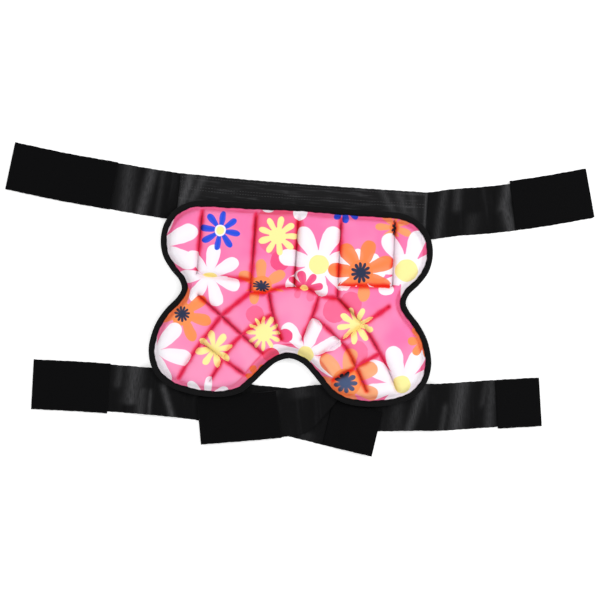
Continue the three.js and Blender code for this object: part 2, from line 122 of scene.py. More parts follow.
# The print, charted in the pad's frame. Each row is drawn over the rows before it. The phase is in
# degrees, half_width is a petal's as a share of the radius, and squash scales a flower across and up. A
# heart without a colour has the petals'. Below the height cut the petals are folded into a seam.
UNCUT = -999
Daisy = namedtuple(
    "Daisy", "x y radius petals phase half_width heart petal_colour heart_colour squash cut",
    defaults=[None, (1, 1), UNCUT],
)
Spot = namedtuple("Spot", "x y radius colour squash", defaults=[(1, 1)])
FLOWERS = [
    Daisy(-18, 64, 25, 6, 20, 0.6, 16, DEEP_SOFT, squash=(1, 1.12)),
    Daisy(-16.5, 31, 9.5, 5, 20, 0.6, 8, DEEP, squash=(1, 1.1)),
    Daisy(-38.4, -25.4, 9, 5, 60, 0.6, 5, DEEP_SOFT),
    Daisy(43.3, -16.4, 12, 5, 30, 0.6, 7, DEEP_SOFT),
    Daisy(59.3, -7.7, 11, 5, 10, 0.6, 6, DEEP_SOFT),
    Daisy(68, -57, 11, 5, 40, 0.6, 6, DEEP_FAINT),
    Spot(-31.5, 82.5, 5.5, WHITE, (1, 0.5)),
    Spot(1.3, 82, 9, WHITE, (0.85, 1)),
    Daisy(-87.3, 11.7, 33, 7, 83.6, 0.21, 7, WHITE, squash=(1, 0.97)),
    Spot(-87, 12, 7.6, YELLOW, (1, 0.44)),
    Daisy(-142, 38.5, 43, 7, 28, 0.205, 10, WHITE),
    Daisy(-83.7, -117, 26, 7, 83.6, 0.175, 6, WHITE, YELLOW),
    Daisy(23.4, 30.4, 41.2, 7, 68.6, 0.21, 14, WHITE, cut=4),
    Spot(28, 4.5, 7.5, WHITE, (0.87, 1)),
    Spot(23.8, 29.6, 10, YELLOW),
    Daisy(98.5, 72.8, 19.1, 7, 183.6, 0.2, 6, SOFT_ORANGE, ORANGE, cut=63.5),
    Daisy(113.7, 30, 42.2, 7, 73.5, 0.21, 16, WHITE, cut=13),
    Spot(94, 8, 8, WHITE, (1, 0.75)),
    Spot(113.5, 7, 12, WHITE, (0.36, 1)),
    Spot(114, 29, 11.4, YELLOW),
    Daisy(15.8, -62.8, 38, 7, 75.6, 0.19, 8, WHITE, YELLOW),
    Daisy(116.3, -87.6, 40.5, 8, 108.6, 0.205, 9.3, WHITE, YELLOW),
    Daisy(67.6, 24.3, 24.5, 7, 103, 0.2, 9, WHITE, cut=8.8),
    Daisy(67.2, 24.5, 34, 7, 75.6, 0.22, 12.5, RICH_ORANGE, cut=8.6),
    Spot(71.5, 3.4, 9.2, SOFT_ORANGE, (0.68, 1)),
    Daisy(-112.8, -29.5, 30, 7, -12.4, 0.19, 12, ORANGE),
    Daisy(-138.3, -69.5, 37, 6, -9, 0.22, 6, WHITE),
    Daisy(58.5, -89.5, 36, 7, 31.6, 0.215, 15, PALE_ORANGE, ORANGE),
    Daisy(-33.2, 4.5, 26.8, 6, 94.6, 0.2, 10, SOFT_ORANGE, ORANGE, cut=-1),
    Spot(-40, -8.5, 6, SOFT_ORANGE, (0.8, 1.1)),
    Daisy(136.8, -42, 17.5, 7, 183.6, 0.25, 5, ORANGE),
    Daisy(-31.7, -88.6, 12.5, 6, 4, 0.28, 6, ORANGE),
    Spot(-5.9, -45.3, 7.2, DEEP),
    Spot(-19.5, -66, 9, DEEP_SOFT, (0.95, 0.8)),
    Daisy(10.2, 4.8, 19.6, 8, 101.6, 0.195, 4.5, DEEP, CREAM, squash=(1, 0.9), cut=3),
    Spot(3.8, -2.5, 4.2, DEEP_FAINT, (0.75, 1)),
    Spot(16.8, -3.6, 4.8, DEEP_FAINT, (0.75, 1.05)),
    Daisy(-20.2, 56.3, 20, 9, 81.6, 0.155, 8.5, YELLOW),
    Daisy(-77.6, -63.7, 19.1, 8, 13.6, 0.175, 5, YELLOW),
    Daisy(-28.2, -43.8, 17.8, 12, 3.6, 0.108, 8.5, YELLOW),
    Daisy(65.4, -30.2, 19.1, 9, 148.6, 0.15, 6.5, YELLOW),
    Daisy(-79.3, 58, 20.4, 8, 82.6, 0.16, 5.8, BLUE, WHITE),
    Spot(-79.3, 58, 4.2, YELLOW),
    Daisy(47.8, 90.1, 17, 8, -86.4, 0.19, 5, BLUE, WHITE),
    Daisy(67.2, 24.5, 10.3, 11, 0, 0.165, 4.8, NAVY),
    Daisy(98.2, 72, 8.4, 9, 0, 0.18, 4.2, NAVY, squash=(0.42, 1.1)),
    Daisy(-112.8, -29.5, 8.4, 11, 10, 0.165, 3.9, NAVY),
    Daisy(58.5, -89.5, 11.8, 9, 0, 0.2, 5.2, SLATE, squash=(1, 0.95)),
    Daisy(-33.2, 4.5, 8.6, 11, 0, 0.165, 4, NAVY, squash=(1, 0.65), cut=0.2),
]


def linear(colour):
    """An 8-bit screen colour as the linear colour that a shader takes."""
    out = []
    for level in colour:
        share = level / 255
        out.append(share / 12.92 if share <= 0.04045 else ((share + 0.055) / 1.055) ** 2.4)
    return (*out, 1)


# Curves
def spline(points, closed=False, per_span=40):
    """A centripetal Catmull-Rom curve through plan points, as many close points."""
    p = np.array(points, float)
    n = len(p)
    out = []
    for i in range(n if closed else n - 1):
        b, c = p[i], p[(i + 1) % n]
        a = p[i - 1] if closed or i > 0 else 2 * p[0] - p[1]
        d = p[(i + 2) % n] if closed or i + 2 < n else 2 * p[-1] - p[-2]
        d1 = max(np.sum((c - b) ** 2) ** 0.25, 1e-4)
        d0 = max(np.sum((b - a) ** 2) ** 0.25, 1e-4)
        d2 = max(np.sum((d - c) ** 2) ** 0.25, 1e-4)
        m1 = ((b - a) / d0 - (c - a) / (d0 + d1) + (c - b) / d1) * d1
        m2 = ((c - b) / d1 - (d - b) / (d1 + d2) + (d - c) / d2) * d1
        t = np.linspace(0, 1, per_span, endpoint=False)[:, None]
        out.append(b + m1 * t + (-3 * b + 3 * c - 2 * m1 - m2) * t**2 + (2 * b - 2 * c + m1 + m2) * t**3)
    out.append(p[:1] if closed else p[-1:])
    return np.vstack(out)


def lengths(line):
    """How far along the line each of its points lies."""
    return np.concatenate([[0], np.cumsum(np.hypot(*np.diff(line, axis=0).T))])


def unit(rows):
    """The same directions with length 1."""
    return rows / np.hypot(*rows.T)[:, None]


def spaced(line, step=None, count=None):
    """The line's points again, evenly spaced."""
    s = lengths(line)
    if count is None:
        count = max(2, int(round(s[-1] / step)) + 1)
    at = np.linspace(0, s[-1], count)
    return np.column_stack([np.interp(at, s, line[:, k]) for k in (0, 1)])


def shares(rows, side=1):
    """Points given as shares of half the panel's width and of its height, in millimetres."""
    return [(side * a * PANEL_WIDTH / 2, u * PANEL_HEIGHT) for a, u in rows]


def nearest(points, line):
    """For each point: its distance to a line, the nearest place on it, and how far along that lies."""
    best = np.full(len(points), 1e9)
    where = np.zeros((len(points), 2))
    along = np.zeros(len(points))
    s = lengths(line)
    for i in range(len(line) - 1):
        a, ab = line[i], line[i + 1] - line[i]
        size = max(ab @ ab, 1e-12)
        t = np.clip(((points - a) @ ab) / size, 0, 1)
        foot = a + t[:, None] * ab
        distance = np.hypot(*(points - foot).T)
        near = distance < best
        best[near] = distance[near]
        where[near] = foot[near]
        along[near] = s[i] + t[near] * math.sqrt(size)
    return best, where, along


def wobble(x, y, size, seed):
    """Smooth unevenness between about -1 and 1, with bumps of about that size."""
    rng = np.random.default_rng(seed)
    waves = 7
    total = 0
    for _ in range(waves):
        turn = rng.uniform(0, 2 * math.pi)
        k = rng.uniform(0.6, 1.5) * math.pi / size
        start = rng.uniform(0, 2 * math.pi)
        total = total + np.sin(k * (x * math.cos(turn) + y * math.sin(turn)) + start)
    return total / (waves / 2)


def smoothstep(x, a, b):
    t = np.clip((x - a) / (b - a), 0, 1)
    return t * t * (3 - 2 * t)


def bell(x, middle, width, power=2):
    """A soft bump of height 1. A higher power gives it a flatter top and steeper sides."""
    return np.exp(-(((x - middle) / width) ** power))


# Meshes
def linked(name, data):
    """A new object in the scene."""
    obj = bpy.data.objects.new(name, data)
    bpy.context.scene.collection.objects.link(obj)
    return obj


def mesh_piece(name, points, faces, attributes, material):
    """A smooth mesh from points in the pad's frame. attributes maps a name to a vector or number for each
    point."""
    co = np.array(points, float) + (*PAD_CENTRE, 0)
    mesh = bpy.data.meshes.new(name)
    mesh.from_pydata((co * MM).tolist(), [], [tuple(int(i) for i in f) for f in faces])
    for key, values in attributes.items():
        values = np.asarray(values, np.float32)
        kind, field = ("FLOAT_VECTOR", "vector") if values.ndim == 2 else ("FLOAT", "value")
        mesh.attributes.new(key, kind, "POINT").data.foreach_set(field, values.ravel())
    mesh.polygons.foreach_set("use_smooth", [True] * len(mesh.polygons))
    mesh.update()
    obj = linked(name, mesh)
    mesh.materials.append(material)
    return obj


def settle(obj, slot, *nodes):
    """Parents a piece to the root body and hides the CAD nodes that it stands for. slot is not used."""
    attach(obj, "root")
    if nodes:
        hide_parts(*nodes)
    return obj


# Shader nodes
def feed(tree, made, **inputs):
    """Sets or links a node's inputs, each by its name, with _ for a space, or by i and its number."""
    for key, value in inputs.items():
        numbered = key[0] == "i" and key[1:].isdigit()
        socket = made.inputs[int(key[1:]) if numbered else key.replace("_", " ")]
        if isinstance(value, bpy.types.NodeSocket):
            tree.links.new(value, socket)
        else:
            socket.default_value = value


def node(tree, kind, props=None, **inputs):
    made = tree.nodes.new("ShaderNode" + kind)
    for key, value in (props or {}).items():
        setattr(made, key, value)
    feed(tree, made, **inputs)
    return made


def maths(tree, kind, a, b=0, c=0):
    return node(tree, "Math", {"operation": kind}, i0=a, i1=b, i2=c).outputs[0]


def vectors(tree, kind, a, b=(0, 0, 0)):
    made = node(tree, "VectorMath", {"operation": kind}, i0=a, i1=b)
    return made.outputs["Value" if kind == "LENGTH" else "Vector"]


def axes(tree, vector):
    return node(tree, "SeparateXYZ", Vector=vector).outputs


def mix(tree, factor, a, b, blend="MIX"):
    props = {"data_type": "RGBA", "blend_type": blend}
    return node(tree, "Mix", props, i0=factor, i6=a, i7=b).outputs[2]


def ramp(tree, value, low, high, to_low=0, to_high=1):
    made = node(
        tree, "MapRange", {"interpolation_type": "SMOOTHSTEP"},
        Value=value, From_Min=low, From_Max=high, To_Min=to_low, To_Max=to_high,
    )
    return made.outputs["Result"]


def attribute(tree, name, out="Vector"):
    return node(tree, "Attribute", {"attribute_name": name}).outputs[out]


def noise(tree, vector, scale, detail=2, roughness=0.5, out="Fac"):
    made = node(tree, "TexNoise", Vector=vector, Scale=scale, Detail=detail, Roughness=roughness)
    return made.outputs[out]


def bump(tree, height, strength, distance, **normal):
    made = node(tree, "Bump", Strength=strength, Distance=distance, Height=height, **normal)
    return made.outputs["Normal"]


def shader(name, roughness, specular, sheen=0, sheen_roughness=0.5):
    """A new material with one plain fabric shader. Returns the material, its tree and the shader."""
    material = bpy.data.materials.new(name)
    material.use_nodes = True
    tree = material.node_tree
    surface = tree.nodes["Principled BSDF"]
    feed(tree, surface, Roughness=roughness, Specular_IOR_Level=specular)
    feed(tree, surface, Sheen_Weight=sheen, Sheen_Roughness=sheen_roughness)
    return material, tree, surface


# The print's shader. A petal's middle and half length are shares of the flower's radius.
PETAL_MIDDLE = 0.54
PETAL_HALF = 0.46
PETAL_BLUNTNESS = 2.8
INK_BLUR = 0.3
MOTIF_INPUTS = [
    ("Below", "Color"), ("Place", "Vector"), ("Centre", "Vector"), ("Stretch", "Vector"), ("Radius", "Float"),
]
DAISY_INPUTS = [
    ("Petals", "Float"), ("Phase", "Float"), ("Half Width", "Float"), ("Heart", "Float"),
    ("Petal Colour", "Color"), ("Heart Colour", "Color"), ("Cut", "Float"),
]


def motif_group(name, own_inputs):
    """A node group that draws over the colour Below. Returns it, its inputs, its output and the squashed
    offset from the motif's centre."""
    tree = bpy.data.node_groups.new(name, "ShaderNodeTree")
    for label, kind in MOTIF_INPUTS + own_inputs:
        tree.interface.new_socket(name=label, in_out="INPUT", socket_type="NodeSocket" + kind)
    tree.interface.new_socket(name="Print", in_out="OUTPUT", socket_type="NodeSocketColor")
    given = tree.nodes.new("NodeGroupInput").outputs
    out = tree.nodes.new("NodeGroupOutput").inputs["Print"]
    offset = vectors(tree, "SUBTRACT", given["Place"], given["Centre"])
    return tree, given, out, vectors(tree, "MULTIPLY", offset, given["Stretch"])


def inked(tree, beyond):
    """1 inside an outline and 0 outside it, from the distance beyond it."""
    return ramp(tree, beyond, -INK_BLUR, INK_BLUR, 1, 0)


def daisy_group():
    """One printed flower, petals round a heart, over the colour below it."""
    tree, given, out, away = motif_group("Daisy", DAISY_INPUTS)
    split = axes(tree, away)
    far = vectors(tree, "LENGTH", away)
    angle = maths(tree, "SUBTRACT", maths(tree, "ARCTAN2", split[1], split[0]), given["Phase"])
    half = maths(tree, "DIVIDE", math.pi, given["Petals"])
    local = maths(tree, "WRAP", angle, half, maths(tree, "MULTIPLY", half, -1))
    outward = maths(tree, "MULTIPLY", far, maths(tree, "COSINE", local))
    along = maths(tree, "DIVIDE", outward, given["Radius"])
    sideways = maths(tree, "MULTIPLY", far, maths(tree, "SINE", local))
    side = maths(tree, "DIVIDE", sideways, given["Radius"])
    width = maths(tree, "MULTIPLY", given["Half Width"], maths(tree, "MULTIPLY_ADD", along, 0.75, 0.5))
    u = maths(tree, "DIVIDE", maths(tree, "SUBTRACT", along, PETAL_MIDDLE), PETAL_HALF)
    v = maths(tree, "DIVIDE", side, width)
    blunt = maths(tree, "POWER", maths(tree, "ABSOLUTE", u), PETAL_BLUNTNESS)
    reach = maths(tree, "SQRT", maths(tree, "ADD", blunt, maths(tree, "MULTIPLY", v, v)))
    height = axes(tree, given["Place"])[1]
    above = ramp(tree, maths(tree, "SUBTRACT", height, given["Cut"]), -INK_BLUR, INK_BLUR)
    petal = maths(tree, "MULTIPLY", ramp(tree, reach, 0.96, 1.04, 1, 0), above)
    heart = inked(tree, maths(tree, "SUBTRACT", far, given["Heart"]))
    vein = maths(tree, "MULTIPLY", ramp(tree, maths(tree, "ABSOLUTE", v), 0, 0.9, 0, 1), 0.06)
    petal_colour = mix(tree, vein, given["Petal Colour"], given["Below"])
    painted = mix(tree, petal, given["Below"], petal_colour)
    tree.links.new(mix(tree, heart, painted, given["Heart Colour"]), out)
    return tree


def spot_group():
    """One printed round spot over the colour below it."""
    tree, given, out, away = motif_group("Spot", [("Spot Colour", "Color")])
    spot = inked(tree, maths(tree, "SUBTRACT", vectors(tree, "LENGTH", away), given["Radius"]))
    tree.links.new(mix(tree, spot, given["Below"], given["Spot Colour"]), out)
    return tree


def pink_ground(tree, cloth):
    """The pink below the flowers, paler in patches and towards the pad's bottom, less so at its right."""
    across, up = axes(tree, cloth)[:2]
    low = ramp(tree, up, -70, 60, 0.9, 0.1)
    lower = maths(tree, "SUBTRACT", low, ramp(tree, across, 70, 110, 0, 0.55))
    patchy = ramp(tree, noise(tree, cloth, 0.03, 1), 0.3, 0.7, -0.3, 0.3)
    return mix(tree, maths(tree, "ADD", lower, patchy), linear(PINK), linear(PINK_PALE))


def flowered(tree, colour, place):
    """The colour with every row of FLOWERS drawn over it, one after the other."""
    daisy = {"node_tree": daisy_group()}
    spot = {"node_tree": spot_group()}
    for mark in FLOWERS:
        shared = {
            "Below": colour, "Place": place, "Centre": (mark.x, mark.y, 0),
            "Stretch": (1 / mark.squash[0], 1 / mark.squash[1], 0), "Radius": mark.radius,
        }
        if isinstance(mark, Spot):
            drawn = node(tree, "Group", spot, **shared, Spot_Colour=linear(mark.colour))
        else:
            drawn = node(
                tree, "Group", daisy, **shared, Petals=mark.petals, Phase=math.radians(mark.phase),
                Half_Width=mark.half_width, Heart=mark.heart, Petal_Colour=linear(mark.petal_colour),
                Heart_Colour=linear(mark.heart_colour or mark.petal_colour), Cut=mark.cut,
            )
        colour = drawn.outputs["Print"]
    return colour


def print_material():
    """Stretch knit printed with daisies, with painted shade in its grooves, at the rim's fold and on the flat
    rim.
    """
    material, tree, surface = shader(
        "printed_knit", roughness=0.72, specular=0.35, sheen=0.12, sheen_roughness=0.4
    )
    cloth = attribute(tree, "cloth")
    # The outlines waver by up to a millimetre, as printed cloth does
    waver = vectors(tree, "SUBTRACT", noise(tree, cloth, 0.09, 1, out="Color"), (0.5, 0.5, 0.5))
    place = vectors(tree, "ADD", cloth, vectors(tree, "MULTIPLY", waver, (2, 2, 0)))
    colour = flowered(tree, pink_ground(tree, cloth), place)

    # Painted shade: pale print darkens less in the grooves than the pink does
    green = node(tree, "SeparateColor", Color=colour).outputs[1]
    takes = ramp(tree, green, 0.35, 0.8, 1, 0.22)
    # Painted shade: the colour is drawn towards a darker, richer copy of itself where the groove attribute is
    # set
    groove = maths(tree, "MULTIPLY", attribute(tree, "groove", "Fac"), takes)
    painted_shade_colour = node(tree, "Gamma", Color=colour, Gamma=2.4).outputs[0]
    painted_shade_colour = mix(tree, 1, painted_shade_colour, (0.9, 0.52, 0.6, 1), "MULTIPLY")
    colour = mix(tree, groove, colour, painted_shade_colour)
    # Painted shadow: a dark line down in the grooves
    line = mix(tree, 1, colour, (0.3, 0.16, 0.2, 1), "MULTIPLY")
    colour = mix(tree, attribute(tree, "groove_shadow", "Fac"), colour, line)

    loops = node(tree, "TexVoronoi", Vector=cloth, Scale=1.25, Randomness=0.55).outputs["Distance"]
    fibre = noise(tree, cloth, 2.3, 3)
    worn = maths(tree, "MULTIPLY_ADD", fibre, 0.1, 0.95)
    grey = node(tree, "CombineColor", i0=worn, i1=worn, i2=worn).outputs[0]
    colour = mix(tree, 1, colour, grey, "MULTIPLY")
    rough = maths(tree, "MULTIPLY_ADD", fibre, 0.14, 0.62)
    knitted = bump(tree, loops, 0.18, 0.00012)
    normal = bump(tree, noise(tree, cloth, 0.28, 2), 0.22, 0.0006, Normal=knitted)
    feed(tree, surface, Base_Color=colour, Roughness=rough, Normal=normal)
    return material


PAINTED_HIGHLIGHT = (84, 84, 86)  # painted highlight: the pale grey of satin where it catches the light


def dark_material(name, low, high, rib_along=0, rib_across=0, streak=None, **finish):
    """A near-black cloth. rib_along and rib_across are the pitches of its ribs, and streak is how fast its
    tone varies along and across it. Where the highlight attribute is set, a painted highlight makes the satin
    paler."""
    material, tree, surface = shader(name, **finish)
    strip = attribute(tree, "strip")
    along, across = axes(tree, strip)[:2]
    height = noise(tree, strip, 1.6, 3)
    for pitch, value, share in ((rib_along, along, 0.9), (rib_across, across, 0.6)):
        if pitch:
            wave = maths(tree, "SINE", maths(tree, "MULTIPLY", value, 2 * math.pi / pitch))
            height = maths(tree, "MULTIPLY_ADD", wave, share, height)
    tone = noise(tree, strip, 0.9, 3)
    if streak:
        lines = noise(tree, vectors(tree, "MULTIPLY", strip, (*streak, 1)), 1, 3, 0.6)
        faint = maths(tree, "MULTIPLY", tone, 0.2)
        tone = maths(tree, "MULTIPLY_ADD", ramp(tree, lines, 0.5, 0.76), 0.8, faint)
    colour = mix(tree, tone, linear(low), linear(high))
    threads = noise(tree, vectors(tree, "MULTIPLY", strip, (0.9, 0.12, 1)), 1, 3, 0.7)
    broken = ramp(tree, threads, 0.25, 0.7, 0.35, 1)
    # Painted highlight: the satin is mixed towards a pale grey where the highlight attribute is set, broken
    # up by its threads
    highlight = maths(tree, "MULTIPLY", attribute(tree, "highlight", "Fac"), broken)
    colour = mix(tree, highlight, colour, linear(PAINTED_HIGHLIGHT))
    base = surface.inputs["Roughness"].default_value
    rough = maths(tree, "MULTIPLY_ADD", tone, -0.12, base + 0.06)
    feed(tree, surface, Base_Color=colour, Roughness=rough, Normal=bump(tree, height, 0.35, 0.00018))
    return material


PRINT = print_material()
BACKING = dark_material(
    "backing_knit", (14, 14, 16), (26, 26, 28), 1.3, 1.3, roughness=0.85, specular=0.08, sheen=0.04
)
BINDING = dark_material(
    "binding_tape", (5, 5, 6), (17, 17, 18), 1.1, roughness=0.7, specular=0.1, sheen=0.02
)
BAND = dark_material(
    "band_cloth", (16, 16, 17), (58, 58, 60), 0.9, 1.1, (0.03, 0.3), roughness=0.6, specular=0.1, sheen=0.02
)
ELASTIC = dark_material(
    "elastic_webbing", (3, 3, 4), (22, 22, 24), 0.85, 1.2, (0.11, 0.012), roughness=0.5, specular=0.08
)
LOOP = dark_material(
    "loop_tape", (4, 4, 5), (13, 13, 14), roughness=0.95, specular=0.03, sheen=0.03, sheen_roughness=0.6
)
HOOK = dark_material("hook_tape", (4, 4, 5), (12, 12, 13), 1.5, 1.5, roughness=0.8, specular=0.06)
THREAD = dark_material("thread", (6, 6, 7), (18, 18, 19), 0.7, roughness=0.6, specular=0.05)
BAND_THREAD = dark_material("band_thread", (44, 44, 46), (92, 92, 94), 0.7, roughness=0.5, specular=0.15)

# The cut edge, anticlockwise from the middle of the top
edge_rows = [(-a, u) for a, u in OUTLINE] + OUTLINE[1:-1][::-1]
EDGE = spaced(spline(shares(edge_rows), closed=True), count=721)
EDGE_LENGTH = lengths(EDGE)[-1]


def edge_ring(inset):
    """Points of the cut edge moved inwards by an inset that may vary along it."""
    loop = EDGE[:-1]
    along = unit(np.roll(loop, -1, axis=0) - np.roll(loop, 1, axis=0))
    return loop + np.column_stack([-along[:, 1], along[:, 0]]) * np.reshape(inset, (-1, 1))


def inside(points, loop):
    """Which of the points lie inside a closed line."""
    odd = np.zeros(len(points), bool)
    for (x0, y0), (x1, y1) in zip(loop[:-1], loop[1:]):
        crosses = (y0 > points[:, 1]) != (y1 > points[:, 1])
        with np.errstate(divide="ignore", invalid="ignore"):
            x = x0 + (points[:, 1] - y0) * (x1 - x0) / (y1 - y0)
        odd ^= crosses & (points[:, 0] < x)
    return odd


def groove_lines():
    lines = [shares(CENTRE_GROOVE)]
    lines += [shares(rows, side) for rows in GROOVES.values() for side in (1, -1)]
    return [spaced(spline(line), GROOVE_STEP) for line in lines]


# The pad's skin
GRID = 1.25
GRID_SIDE = 147
GRID_BOTTOM, GRID_TOP = -114, 90
GROOVE_STEP = 3
BORDER_INSET = 0.3  # from the cut edge to the skin's border
UNDER_TAPE = 4.8  # flat rim under the tape
SWELL = 0.3  # the cloth stands up a little beside the tape
PUCKER = 0.22
BLOCK_WAVE = 0.25
FOLD_PUCKER = 0.2
FOLD_PRESS = 0.5
FOLD_INSET = 8.4  # from the cut edge to the fold line between the rim and the blocks
CROTCH_INSET = 5.2  # how much further in that line lies at the crotch


def pad_grid():
    """The pad's plan as a grid: its points, squares, border edges and distances from the rim."""
    xs = np.arange(-GRID_SIDE, GRID_SIDE + GRID, GRID)
    ys = np.arange(GRID_BOTTOM, GRID_TOP + GRID, GRID)
    gx, gy = np.meshgrid(xs, ys)
    points = np.column_stack([gx.ravel(), gy.ravel()])
    rim, foot, _ = nearest(points, EDGE[::2])
    keep = (inside(points, EDGE) & (rim > 0.5 * GRID)).reshape(gx.shape)
    cells = keep[:-1, :-1] & keep[1:, :-1] & keep[:-1, 1:] & keep[1:, 1:]
    rows, cols = np.nonzero(cells)
    wide = len(xs)
    corner = rows * wide + cols
    quads = np.column_stack([corner, corner + 1, corner + wide + 1, corner + wide])
    used, index = np.unique(quads, return_inverse=True)
    quads = index.reshape(-1, 4)
    plan, rim, foot = points[used], rim[used], foot[used]
    edges = np.vstack([quads[:, side] for side in ([0, 1], [1, 2], [2, 3], [3, 0])])
    key = np.sort(edges, axis=1) @ np.array([len(plan), 1])
    _, first, count = np.unique(key, return_index=True, return_counts=True)
    border = edges[first[count == 1]]
    outer = np.unique(border)
    plan[outer] = foot[outer] + (plan[outer] - foot[outer]) / rim[outer][:, None] * BORDER_INSET
    rim[outer] = BORDER_INSET
    return plan, quads, border, rim


def pad_grooves(plan, border):
    """Each point's distance from its nearest groove, the length along it, how much its turn shades it, and
    the direction away from it. Points close to a groove are moved onto it."""
    groove = np.full(len(plan), 1e9)
    toward = np.zeros((len(plan), 2))
    along = np.zeros(len(plan))
    shaded = np.zeros(len(plan))
    for number, line in enumerate(groove_lines()):
        distance, foot, length = nearest(plan, line)
        run = unit(np.gradient(line, axis=0))
        # How squarely the groove runs across the light from the right, which sets its painted shadow line
        across = np.abs(run[:, 0] * 0.37 - run[:, 1] * 0.93)
        near = distance < groove
        shaded[near] = np.interp(length, lengths(line), across)[near]
        groove[near] = distance[near]
        toward[near] = foot[near]
        along[near] = length[near] + 61 * number  # so that no two grooves pucker alike
    snap = groove < 0.42 * GRID
    snap[np.unique(border)] = False
    plan[snap] = toward[snap]
    groove[snap] = 0
    away = np.divide(plan - toward, np.maximum(groove, 1e-6)[:, None])
    away[snap] = 0
    return groove, along, shaded, away


def rim_fold(plan):
    """Each point's nearness to the crotch, and the inset of the fold line there."""
    crotch = bell(plan[:, 0], 0, 48, 6) * smoothstep(-plan[:, 1], 40, 58)
    return crotch, FOLD_INSET + CROTCH_INSET * crotch


def pad_heights(plan, rim, groove, along):
    """The heights of the pad's printed face and of its back."""
    x, y = plan.T
    shoulder = np.clip((rim - BLOCK_FOLD) / BLOCK_ROUND, 0, 1)
    rise = (1 - (1 - shoulder) ** 2.4) ** 0.7
    wall = np.clip((groove - GROOVE_FLOOR) / GROOVE_ROUND, 0, 1)
    crown = (1 - (1 - wall) ** 3) ** 0.55
    ripple = np.sin(along * 1.15 + 2.2 * np.sin(along * 0.23))
    pucker = np.exp(-groove / 3.2) * ripple * np.clip(groove, 0, 1.5)
    height = PAD_TOP - RIM_TOP
    top = RIM_TOP + height * rise * (1 - GROOVE_DEPTH / height * (1 - crown))
    top += rise * (PUCKER * pucker + BLOCK_WAVE * wobble(x, y, 22, 1))
    top += FOLD_PUCKER * (bell(rim, 9, 3) * wobble(x, y, 5, 3))
    top += SWELL * smoothstep(rim, 4.7, 6) * (1 - smoothstep(rim, 6, 8))
    top[rim < UNDER_TAPE] = RIM_TOP
    _, fold_line = rim_fold(plan)
    top -= FOLD_PRESS * bell(rim, fold_line, 1.3) * smoothstep(rim, 5, 6)
    bottom = RIM_BOTTOM - (RIM_BOTTOM - PAD_BOTTOM) * smoothstep(rim, BLOCK_FOLD, BACK_INSET)
    return top, bottom


def pad_shades(plan, rim, groove, along, shaded):
    """How much painted shade deepens the print's colour at each point, and how dark the painted shadow line
    in a groove is.
    """
    x, y = plan.T
    # Painted shade in the grooves, deepest at their middle
    uneven = groove * (1 + 0.22 * np.sin(along * 0.37) * np.sin(along * 0.11 + 1))
    groove_shade = (0.14 * bell(uneven, 0, 5.5) + 0.86 * bell(uneven, 0, 2.7, 3)) * smoothstep(rim, 4, 9)
    patchy = np.clip(0.55 + 0.6 * wobble(x, y, 26, 5), 0, 1)
    # Painted shadow line in a groove, darker where the groove runs across the light
    groove_shadow = 0.8 * bell(groove, 0, 0.9) * smoothstep(shaded, 0.45, 0.9) * patchy * smoothstep(rim, 8, 16)
    crotch, fold_line = rim_fold(plan)
    # Painted shade in the fold between the rim and the blocks, and over the flat rim
    crease_shade = (0.55 + 0.45 * crotch) * bell(rim, fold_line, 0.85 + 0.4 * crotch)
    crease_shade *= 1 + (0.4 - 0.2 * crotch) * wobble(x, y, 14, 9)
    rim_shade = (0.34 + 0.2 * crotch) * (1 - smoothstep(rim, fold_line - 1, fold_line + 2.5))
    return np.clip(np.maximum(np.maximum(groove_shade, crease_shade), rim_shade), 0, 1), groove_shadow


def padded_panel():
    """The pad as one closed skin: a flat rim, foam blocks rounded towards each groove, and a flat back."""
    plan, quads, border, rim = pad_grid()
    groove, along, shaded, away = pad_grooves(plan, border)
    top, bottom = pad_heights(plan, rim, groove, along)
    shade, groove_shadow = pad_shades(plan, rim, groove, along, shaded)
    cloth = plan + away * (1.7 * np.exp(-groove / 5))[:, None]  # the print is drawn in towards the seams

    n = len(plan)
    points = np.vstack([np.column_stack([plan, top]), np.column_stack([plan, bottom])])
    faces = [tuple(q) for q in quads] + [tuple(q[::-1] + n) for q in quads]
    faces += [(b, a, a + n, b + n) for a, b in border]
    flat = np.zeros((n, 1))
    # The painted shade and the painted shadow line go to the print's shader as attributes
    attributes = {
        "cloth": np.vstack([np.hstack([cloth, flat]), np.hstack([plan, flat])]),
        "groove": np.concatenate([shade, np.zeros(n)]),
        "groove_shadow": np.concatenate([groove_shadow, np.zeros(n)]),
        "strip": np.vstack([np.hstack([plan, flat])] * 2),
    }
    pad = mesh_piece("pad", points, faces, attributes, PRINT)
    pad.data.materials.append(BACKING)
    under = [0] * len(quads) + [1] * len(quads) + [0] * len(border)
    pad.data.polygons.foreach_set("material_index", under)
    settle(pad, "printed_knit", "padded_panel")


def swept(name, rings, attributes, material):
    """A closed tube through closed rings that all have the same number of points."""
    count, size = len(rings), len(rings[0])
    faces = []
    for r in range(count):
        here, there = r * size, ((r + 1) % count) * size
        for i in range(size):
            j = (i + 1) % size
            faces.append((here + i, here + j, there + j, there + i))
    return mesh_piece(name, np.vstack(rings), faces, attributes, material)


STITCH_SIDES = 6
STITCH_SHAPE = [(-0.5, 0), (-0.36, 0.8), (0, 1), (0.36, 0.8), (0.5, 0)]  # place along it, fatness
STITCH_SINK = 0.12  # how far a stitch's ends dip into the cloth


